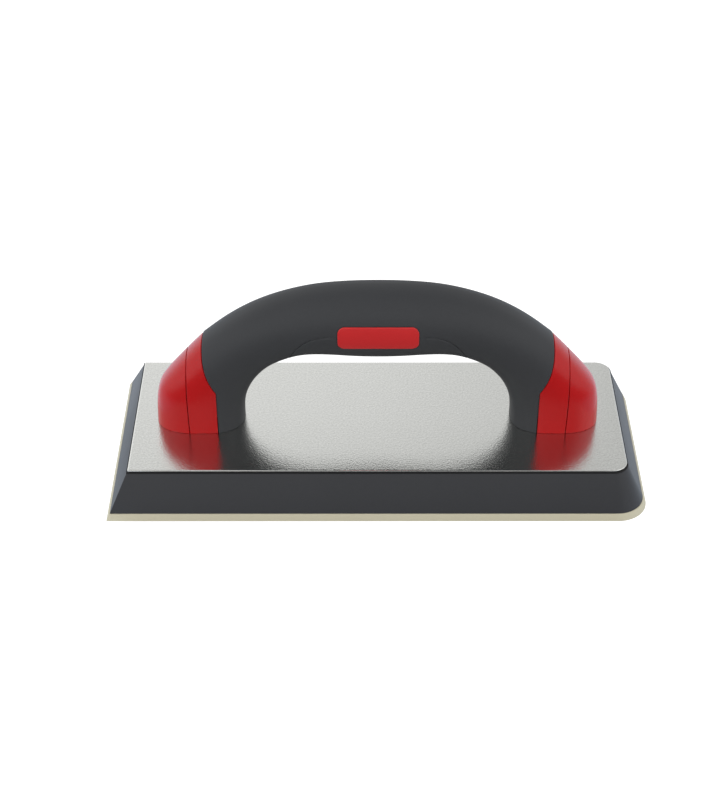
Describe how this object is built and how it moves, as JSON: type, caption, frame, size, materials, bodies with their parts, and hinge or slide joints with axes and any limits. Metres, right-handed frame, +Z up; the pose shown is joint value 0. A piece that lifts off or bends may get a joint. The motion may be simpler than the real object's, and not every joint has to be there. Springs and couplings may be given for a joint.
{
  "type": "rubber grout float",
  "caption": "Hand float with a bevelled foam block, a gum rubber sole, a thin metal back plate and a closed arched grip that stands on the plate on red-capped feet.",
  "frame": {"origin": "middle of the underside of the sole, on the surface being worked", "axes": "+X along the float towards the end with the two rounded corners, +Y across it away from the user's side with the front badge, +Z up out of the sole towards the handle"},
  "size_m": [0.24, 0.1, 0.0912],
  "materials": {
    "gum_rubber": "matt cream gum rubber, fine skin",
    "foam": "matt dark closed-cell foam rubber",
    "adhesive": "dried contact adhesive, dull",
    "plate_metal": "satin mill finish with a fine speckle",
    "core_plastic": "unpainted moulded nylon",
    "grip_rubber": "soft-touch overmould, very fine matt texture",
    "red_plastic": "satin moulded plastic",
    "screw_steel": "zinc plated"
  },
  "bodies": {
    "root": {"gum_rubber_sole": "gum_rubber", "foam_pad": "foam", "bond_film": "adhesive", "back_plate": "plate_metal", "handle_core": "core_plastic", "grip_sleeve": "grip_rubber", "finger_rest": "grip_rubber", "badge_front": "red_plastic", "badge_back": "red_plastic", "collar_left": "red_plastic", "collar_right": "red_plastic", "heel_cap_left": "red_plastic", "heel_cap_right": "red_plastic", "foot_screw_1": "screw_steel", "screw_washer_1": "screw_steel", "foot_screw_2": "screw_steel", "screw_washer_2": "screw_steel", "foot_screw_3": "screw_steel", "screw_washer_3": "screw_steel", "foot_screw_4": "screw_steel", "screw_washer_4": "screw_steel"}
  },
  "joints": []
}
